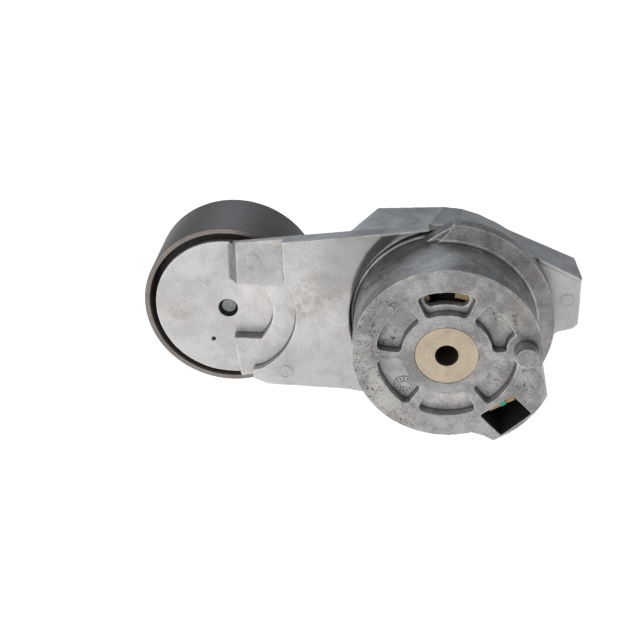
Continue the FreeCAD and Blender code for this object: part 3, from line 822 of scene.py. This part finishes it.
def ring_mark(name: str, spot: Spot, level: float, width: float = 0.26,
              height: float = 0.22) -> bpy.types.Object:
    """Raise a fine ring on a face that looks towards -Y, as an ejector pin leaves it.

    Args:
        name: the piece's name.
        spot: centre and radius of the ring.
        level: level of the face in millimetres.
        width: half the width of the ring's foot in millimetres.
        height: how far it stands off the face in millimetres.

    Returns:
        The ring, linked to the scene.
    """
    foot = level + MARK_ROOT
    corners = [Corner(spot.radius - width, foot), Corner(spot.radius - width * 0.4, level - height),
               Corner(spot.radius + width * 0.4, level - height), Corner(spot.radius + width, foot)]
    return lathe(name, corners, (spot.x * MM, spot.z * MM), 72)


def smooth_by_angle(piece: bpy.types.Object, degrees: float) -> None:
    """Shade smooth and mark the sharp edges.

    Args:
        piece: the piece to shade.
        degrees: angle from which an edge is sharp.
    """
    limit = math.radians(degrees)
    work = bmesh.new()
    work.from_mesh(piece.data)
    for edge in work.edges:
        edge.smooth = len(edge.link_faces) != 2 or edge.calc_face_angle(0.0) < limit
    for face in work.faces:
        face.smooth = True
    work.to_mesh(piece.data)
    work.free()


def place_piece(piece: bpy.types.Object, finish: Finish, body: Body, *nodes: str) -> None:
    """Finish a new piece.

    Args:
        piece: the new piece.
        finish: its look.
        body: the body it rides on.
        nodes: the CAD nodes it stands for, if any.
    """
    shade(piece, finish)
    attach(piece, body.value)
    if nodes:
        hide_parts(*nodes)
    log.info("%s: %d faces on %s", piece.name, len(piece.data.polygons), body.value)


# ------------------------------------------------------------------ where the axes are
def axis_of(node: str) -> tuple[float, float]:
    """Return the X and Z of the middle of a round CAD node, in metres."""
    low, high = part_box(node)
    return (low.x + high.x) / 2, (low.z + high.z) / 2


PIVOT = (0.0, 0.0)
PULLEY = axis_of("pulley_shell")


# ------------------------------------------------------------------ sub-assemblies
@dataclass
class Housing:
    """Fixed side: cast spring case, spindle, spring support, mark and seal."""

    voxel: float = 0.34
    passes: int = 4
    recess_floor: float = 4.5
    flange_face: float = 31.0
    dial: Spot = Spot(-18.4, -18.6, 4.3)
    dial_dots: int = 12
    bore: float = 5.1
    shank: float = 11.0
    collar_end: float = 3.2
    ring_groove: float = 10.3
    ring_front: float = 57.4
    ring_back: float = 58.6

    def finish_case(self) -> CastAluminium:
        """Skin of the spring case, painted black as shade inside its window."""
        floor = (self.recess_floor - 0.3, self.recess_floor + 0.3)
        low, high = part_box("pivot_spindle")
        head = (high.x - low.x) / 2 / MM
        pale, dim = (0.70, 0.69, 0.68), (0.16, 0.15, 0.14)
        return CastAluminium(
            "housing_casting", (0.445, 0.428, 0.417), (0.24, 0.231, 0.226), 3.1, 1.25, 1.0,
            flow_at=(Spot(-38.0, 4.0, 14.0), Spot(-36.0, -14.0, 13.0), Spot(-26.0, -30.0, 16.0),
                     Spot(-33.0, 22.0, 14.0), Spot(36.0, -10.0, 9.0), Spot(-26.0, 4.7, 9.0),
                     Spot(24.0, 17.0, 9.0), Spot(24.0, -12.0, 9.0), Spot(-20.0, -17.0, 8.0)),
            stains=(Spot(-22.0, -34.5, 7.0), Spot(-16.0, -37.0, 5.0), Spot(34.0, 26.0, 14.0),
                    Spot(12.0, 46.0, 14.0)),
            # painted shade: the window's inside is painted black
            hollow=(Well(28.08, -29.63, 43.6, (9.4, 7.5), (0.9, 29.2)),),
            levels=((Slab((-32.0, 32.0), floor, (-32.0, 32.0)), 1.22),
                    (Slab((-14.0, 14.0), floor, (-32.0, -17.0)), 1.25)),
            # Partly worn edge, partly painted highlight: the pale broken line just inside the face's
            # edge.
            traces=(Trace(0.0, 0.0, 40.4, 0.22, 0.25, pale, (-0.2, 0.6)),
                    Trace(0.0, 0.0, 39.9, 0.25, 0.20, dim, (-0.2, 0.6)),
                    Trace(0.0, 0.0, head + 0.2, 0.45, 0.75, dim, (-0.2, 0.8), 0.5),
                    Trace(0.0, 0.0, head + 1.6, 1.6, 0.22, dim, (-0.2, 0.6)),
                    # Painted highlight: the bright line along the flange's root fillet.
                    Trace(-0.8, -0.5, 42.6, 0.55, 0.75, pale, (28.6, 31.2), 0.5),
                    Trace(38.9, -22.3, 3.16, 0.16, 0.5, dim, (-0.2, 0.6))))

    def build(self) -> None:
        """Build and dress every fixed piece."""
        case = cast_skin("base_housing", "housing_skin", self.voxel * MM, self.passes)
        place_piece(case, self.finish_case(), Body.BASE, "base_housing")
        self.build_dial()
        mark = ring_mark("flange_mark", Spot(33.3, 31.1, 2.6), self.flange_face)
        place_piece(mark, self.finish_case(), Body.BASE)
        self.build_spindle()
        tan = Moulded("support_plastic", (0.40, 0.29, 0.165), (0.30, 0.215, 0.12), Slot.POLYMER)
        for node in ("spring_support_bush", "rear_thrust_washer", "front_thrust_washer"):
            dress_node(node, tan)
        dress_node("index_mark", Moulded("mark_plastic", (0.03, 0.36, 0.25), (0.02, 0.28, 0.20),
                                         Slot.GREEN, 0.4))
        dress_node("dust_seal", Moulded("felt_black", (0.03, 0.03, 0.032), (0.015, 0.015, 0.016),
                                        Slot.RUBBER, 0.8))
        coil = TurnedSteel("spring_wire", (0.16, 0.16, 0.17), (0.07, 0.07, 0.08), Slot.SPRING)
        for node in ("torsion_spring", "retaining_ring"):
            dress_node(node, coil)
        dress_node("thrust_plate", TurnedSteel("plated_plate", (0.62, 0.63, 0.60),
                                               (0.42, 0.43, 0.42), Slot.ZINC))

    def build_dial(self) -> None:
        """Raise the plain dial on a recess floor: two rings and a circle of dots."""
        inner = Spot(self.dial.x, self.dial.z, self.dial.radius * 0.42)
        grimed = CastAluminium("dial_casting", (0.115, 0.110, 0.106), (0.06, 0.058, 0.056), 5.2, 0.8, 0.0)
        for name, spot in (("dial_outer", self.dial), ("dial_inner", inner)):
            ring = ring_mark(name, spot, self.recess_floor, 0.44, 0.30)
            place_piece(ring, grimed, Body.BASE)
        reach = self.dial.radius * 0.73
        for index in range(self.dial_dots):
            turn = 2 * math.pi * index / self.dial_dots
            at = ((self.dial.x + reach * math.cos(turn)) * MM,
                  (self.dial.z + reach * math.sin(turn)) * MM)
            top, foot = self.recess_floor - 0.18, self.recess_floor + MARK_ROOT
            dot = lathe("dial_dot_%02d" % index, [Corner(0.0, top), Corner(0.42, top, 0.1),
                                                  Corner(0.48, foot), Corner(0.0, foot)], at, 14)
            place_piece(dot, grimed, Body.BASE)

    def build_spindle(self) -> None:
        """Turn the spindle with a softly rounded bore edge and face edge."""
        low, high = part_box("pivot_spindle")
        head, end = (high.x - low.x) / 2 / MM, high.y / MM
        corners = [Corner(self.bore, 0, 0.45), Corner(head, 0, 0.35),
                   Corner(head, self.collar_end), Corner(self.shank, self.collar_end),
                   Corner(self.shank, self.ring_front), Corner(self.ring_groove, self.ring_front),
                   Corner(self.ring_groove, self.ring_back), Corner(self.shank, self.ring_back),
                   Corner(self.shank, end, 0.5), Corner(self.bore, end, 0.4)]
        spindle = lathe("spindle_turned", corners, PIVOT)
        face = TurnedSteel("spindle_face", (0.60, 0.50, 0.38), (0.41, 0.345, 0.26), Slot.STEEL,
                           PIVOT, 0.45, 0.0005, 0.00001, 0.55, self.bore + 0.05)
        place_piece(spindle, face, Body.BASE, "pivot_spindle")


@dataclass
class Arm:
    """Sprung arm: the casting, its bush, damper, cover and the bolt with its washers."""

    voxel: float = 0.34
    passes: int = 4
    disc_face: float = 41.3
    pocket_floor: float = 35.4
    plate_face: float = 31.3
    ear_face: float = 41.5
    block_radius: float = 35.2
    outline_and_shade: Colour = (0.17, 0.16, 0.15)
    clean_mark: str = "mark_disc"

    def finish_casting(self) -> CastAluminium:
        """Skin of the arm, with painted shade on the bevel of its upper pocket."""
        rings = tuple(Trace(spot.x, spot.z, spot.radius + 0.42, 0.34, 0.45, self.outline_and_shade,
                            (level - 0.2, level + 0.2))
                      for name, spot, level in self.marks() if name != self.clean_mark)
        # Painted shade: a dark band on the bevel round the end block, between plate and pocket levels.
        step = Trace(PULLEY[0] / MM, PULLEY[1] / MM, self.block_radius + 0.3, 1.8, 0.7, self.outline_and_shade,
                     (self.plate_face + 0.2, self.pocket_floor - 0.6), 0.7)
        return CastAluminium(
            "arm_casting", (0.62, 0.602, 0.592), (0.485, 0.468, 0.458), 9.4, 0.62, 0.0,
            stains=(Spot(-127.0, -5.5, 8.0), Spot(-60.0, 12.0, 16.0), Spot(-70.0, 2.0, 9.0)),
            # Painted shade: the upper pocket's bevel wall.
            shades=((Slab((-102.2, -98.2), (35.5, 41.2), (12.5, 34.0)), 0.75),
                    (Slab((-98.2, -76.0), (35.3, 35.6), (12.5, 34.0)), 0.28),
                    (Slab((-67.5, -63.0), (31.0, 31.6), (17.4, 19.4)), 0.25),
                    # Painted shade: the wall under the lower ledge.
                    (Slab((-98.0, -84.0), (36.6, 41.0), (-16.5, -11.5)), 0.35)),
            # painted shade: the bolt hole's walls are painted black
            hollow=(Well(PULLEY[0] / MM, PULLEY[1] / MM, 0.0, (5.2, 5.2), (41.9, 47.0)),),
            levels=((Slab((-98.5, -79.0), (30.0, 45.0), (-15.0, 12.5)), 1.16),
                    (Slab((-80.0, -44.0), (30.5, 32.5), (-5.0, 34.0)), 1.05),
                    (Slab((-80.0, -30.0), (30.5, 32.5), (-60.0, -16.0)), 0.90),
                    # Painted shade: the plate is darker beside the housing's mouth.
                    (Slab((-60.0, -20.0), (30.5, 32.5), (14.0, 60.0)), 0.80),
                    # Painted shade: the mouth's cone is darkened.
                    (Slab((-44.0, 0.0), (32.3, 38.0), (4.0, 44.0)), 0.50),
                    # Painted shade: the shoulder's top is darkened.
                    (Slab((-60.0, -6.0), (38.8, 60.0), (40.0, 60.0)), 0.72),
                    (Slab((46.0, 80.0), (33.0, 60.0), (-20.0, 40.0)), 1.06)),
            traces=rings + (step,),
            # painted shade on the flat faces that look up
            top_shade=0.62)

    def marks(self) -> tuple[tuple[str, Spot, float], ...]:
        """Name, place and face level of each ejector mark."""
        return (("mark_ear", Spot(55.4, 8.2, 2.84), self.ear_face),
                ("mark_pocket", Spot(-90.5, 25.0, 3.3), self.pocket_floor),
                ("mark_low", Spot(-75.0, -31.0, 3.0), self.plate_face),
                ("mark_disc", Spot(-112.9, 9.7, 1.2), self.disc_face))

    def build(self) -> None:
        """Build and dress every piece that turns with the arm."""
        casting = cast_skin("tensioner_arm", "arm_skin", self.voxel * MM, self.passes)
        place_piece(casting, self.finish_casting(), Body.ARM, "tensioner_arm")
        for name, spot, level in self.marks():
            place_piece(ring_mark(name, spot, level), self.finish_casting(), Body.ARM)
        tan = Moulded("bush_plastic", (0.46, 0.36, 0.22), (0.36, 0.28, 0.17), Slot.POLYMER)
        for node in ("pivot_bushing", "damper_shoe"):
            dress_node(node, tan)
        dress_node("damper_band", TurnedSteel("band_steel", (0.2, 0.2, 0.21), (0.1, 0.1, 0.11),
                                              Slot.SPRING))
        zinc = TurnedSteel("plated_steel", (0.60, 0.62, 0.59), (0.40, 0.42, 0.40), Slot.ZINC,
                           PULLEY)
        for node in ("front_dust_washer", "rear_dust_washer"):
            dress_node(node, zinc)
        dress_node("pulley_bolt", TurnedSteel("bolt_steel", (0.33, 0.345, 0.325), (0.14, 0.15, 0.14),
                                              Slot.ZINC, PULLEY))
        dress_node("bearing_inner_ring", TurnedSteel("ring_steel", (0.55, 0.55, 0.56),
                                                     (0.42, 0.42, 0.43), Slot.BEARING, PULLEY, 0.2))
        dress_node("dust_cover", TurnedSteel("cover_steel", (0.55, 0.56, 0.54),
                                             (0.38, 0.39, 0.38), Slot.ZINC))


@dataclass
class Pulley:
    """Idler pulley: the drawn steel shell and the bearing's turning pieces."""

    wall: float = 2.54
    edge: float = 0.45
    hub: float = 24.5
    seat: float = 20.0
    lip: float = 18.5
    groove: float = 21.0
    mouth: float = 50.6
    web_front: float = 58.2
    web_back: float = 61.8
    hub_end: float = 71.0
    seat_front: float = 52.0
    snap_front: float = 68.1
    snap_back: float = 69.3

    def build(self) -> None:
        """Build and dress every piece that turns with the pulley."""
        low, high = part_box("pulley_shell")
        outer = (high.x - low.x) / 2 / MM
        front, back = low.y / MM, high.y / MM
        inner = outer - self.wall
        corners = [Corner(self.lip, self.mouth, 0.4), Corner(self.hub, self.mouth, 0.8),
                   Corner(self.hub, self.web_front, 2.0), Corner(inner, self.web_front, 3.0),
                   Corner(inner, front, self.edge), Corner(outer, front, self.edge),
                   Corner(outer, back, self.edge), Corner(inner, back, self.edge),
                   Corner(inner, self.web_back, 3.0), Corner(self.hub, self.web_back, 2.0),
                   Corner(self.hub, self.hub_end, 0.8), Corner(self.seat, self.hub_end, 0.5),
                   Corner(self.seat, self.snap_back), Corner(self.groove, self.snap_back),
                   Corner(self.groove, self.snap_front), Corner(self.seat, self.snap_front),
                   Corner(self.seat, self.seat_front), Corner(self.lip, self.seat_front)]
        shell = lathe("pulley_turned", corners, PULLEY, 256)
        place_piece(shell, PulleySteel("pulley_satin", PULLEY, front * MM, back * MM),
                    Body.PULLEY, "pulley_shell")
        ring = TurnedSteel("race_steel", (0.55, 0.55, 0.56), (0.42, 0.42, 0.43), Slot.BEARING,
                           PULLEY, 0.2)
        dress_node("bearing_outer_ring", ring)
        dress_node("bearing_snap_ring", TurnedSteel("snap_steel", (0.14, 0.14, 0.15),
                                                    (0.07, 0.07, 0.08), Slot.SPRING, PULLEY))
        rubber = Moulded("bearing_rubber", (0.035, 0.03, 0.028), (0.02, 0.018, 0.017),
                         Slot.RUBBER, 0.6)
        for node in ("bearing_seal_front", "bearing_seal_rear"):
            dress_node(node, rubber)


@dataclass
class BallSet:
    """Bearing balls and their cage."""

    def build(self) -> None:
        """Dress the balls and the cage."""
        dress_node("bearing_balls", TurnedSteel("ball_steel", (0.6, 0.6, 0.61),
                                                (0.5, 0.5, 0.51), Slot.BEARING, PULLEY, 0.12))
        dress_node("bearing_cage", Moulded("cage_plastic", (0.40, 0.32, 0.20),
                                           (0.30, 0.24, 0.15), Slot.POLYMER))


# ------------------------------------------------------------------ studio
@dataclass(frozen=True)
class Lamp:
    """A square soft box: where it stands and what it faces in metres, side, watts and tint."""

    name: str
    place: tuple[float, float, float]
    aim: tuple[float, float, float]
    size: float
    power: float
    colour: Colour


@dataclass
class Studio:
    """Pale floor, soft lights and the camera.

    Attributes:
        camera_at: where the camera stands.
        camera_to: the point it looks at.
        lens: focal length in millimetres.
        floor_drop: how far the floor lies below the part, clear of the arm at its lowest.
        floor_side: side of the floor.
        glow: strength of the floor's glow around and behind the part.
        glow_fade: where, in front of the part, the glow starts and ends its change.
        glow_front: its strength in front, at the left and at the right.
        glow_reach: distance to each side over which it changes from left to right.
        lamps: the soft boxes.
    """

    camera_at: tuple[float, float, float] = (-0.0153, -0.4575, 0.2685)
    camera_to: tuple[float, float, float] = (-0.0560, 0.0005, 0.0150)
    lens: float = 67.5
    floor_drop: float = 0.110
    floor_side: float = 14.0
    glow: float = 0.86
    glow_fade: tuple[float, float] = (-0.19, -0.50)
    glow_front: tuple[float, float] = (0.66, 0.40)
    glow_reach: float = 0.45
    lamps: tuple[Lamp, ...] = (
        Lamp("front_box", (-0.75, -1.2, 0.30), (-0.05, 0, 0), 1.0, 7.0, (1.0, 0.985, 0.96)),
        Lamp("side_box", (1.2, -0.7, 0.5), (0, 0, 0), 0.8, 1.3, (1.0, 0.97, 0.93)),
        Lamp("rear_box", (-0.35, 1.25, 0.98), (-0.03, 0.05, 0), 0.8, 4.2, (0.84, 0.92, 1.0)))

    def build(self) -> None:
        """Build the floor, the world, the lights and the camera."""
        low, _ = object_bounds()
        self.build_floor(low.z - self.floor_drop)
        self.build_world()
        for lamp in self.lamps:
            self.add_light(lamp)
        self.build_camera()

    def build_floor(self, level: float) -> None:
        """Lay a pale glowing floor, dimmer in front of the part and to the right.

        Args:
            level: height of the floor in metres.
        """
        half = self.floor_side / 2
        mesh = bpy.data.meshes.new("floor")
        mesh.from_pydata([(-half, -half, level), (half, -half, level), (half, half, level),
                          (-half, half, level)], [], [(0, 1, 2, 3)])
        floor = bpy.data.objects.new("floor", mesh)
        bpy.context.scene.collection.objects.link(floor)
        ink = Sketch("floor_pale", 0.8, 0.0)
        across, along, _ = ink.axes()
        front = ink.span(along, *self.glow_fade)
        side = ink.span(across, -self.glow_reach, self.glow_reach, *self.glow_front)
        glow = ink.maths("ADD", ink.maths("MULTIPLY", front, side),
                         ink.maths("MULTIPLY", ink.maths("SUBTRACT", 1.0, front), self.glow))
        ink.shader.inputs["Emission Color"].default_value = (1.0, 0.985, 0.97, 1.0)
        ink.join(glow, ink.shader.inputs["Emission Strength"])
        tint = ink.blend(ink.span(ink.noise(0.4), 0.3, 0.7), (0.78, 0.78, 0.79), (0.82, 0.82, 0.82))
        floor.data.materials.append(ink.finish(tint))
        floor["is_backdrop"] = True

    def build_world(self) -> None:
        """Light the part with a dim, slightly blue surround."""
        world = bpy.data.worlds.new("surround")
        world.use_nodes = True
        back = world.node_tree.nodes["Background"]
        back.inputs["Color"].default_value = (0.84, 0.92, 1.0, 1.0)
        back.inputs["Strength"].default_value = 0.26
        bpy.context.scene.world = world

    def add_light(self, lamp: Lamp) -> None:
        """Add one soft box.

        Args:
            lamp: the soft box's place, size and light.
        """
        data = bpy.data.lights.new(lamp.name, "AREA")
        data.shape = "SQUARE"
        data.size = lamp.size
        data.energy = lamp.power
        data.color = lamp.colour
        box = bpy.data.objects.new(lamp.name, data)
        box.location = lamp.place
        way = Vector(lamp.aim) - Vector(lamp.place)
        box.rotation_euler = way.to_track_quat("-Z", "Y").to_euler()
        bpy.context.scene.collection.objects.link(box)

    def build_camera(self) -> None:
        """Stand the camera where the part is seen from the mounting side, a little above."""
        data = bpy.data.cameras.new("camera")
        data.sensor_width = 36.0
        data.lens = self.lens
        data.clip_start, data.clip_end = 0.02, 40.0
        camera = bpy.data.objects.new("camera", data)
        camera.location = self.camera_at
        way = Vector(self.camera_to) - Vector(self.camera_at)
        camera.rotation_euler = way.to_track_quat("-Z", "Y").to_euler()
        bpy.context.scene.collection.objects.link(camera)
        bpy.context.scene.camera = camera


def main() -> None:
    """Build every sub-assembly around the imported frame, then the studio."""
    logging.basicConfig(level=logging.INFO, format="%(name)s: %(message)s")
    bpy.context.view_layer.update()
    for part in (Housing(), Arm(), Pulley(), BallSet(), Studio()):
        part.build()
        log.info("built %s", type(part).__name__)
    bpy.context.scene.view_settings.view_transform = "Standard"


if __name__ == "__main__":
    main()
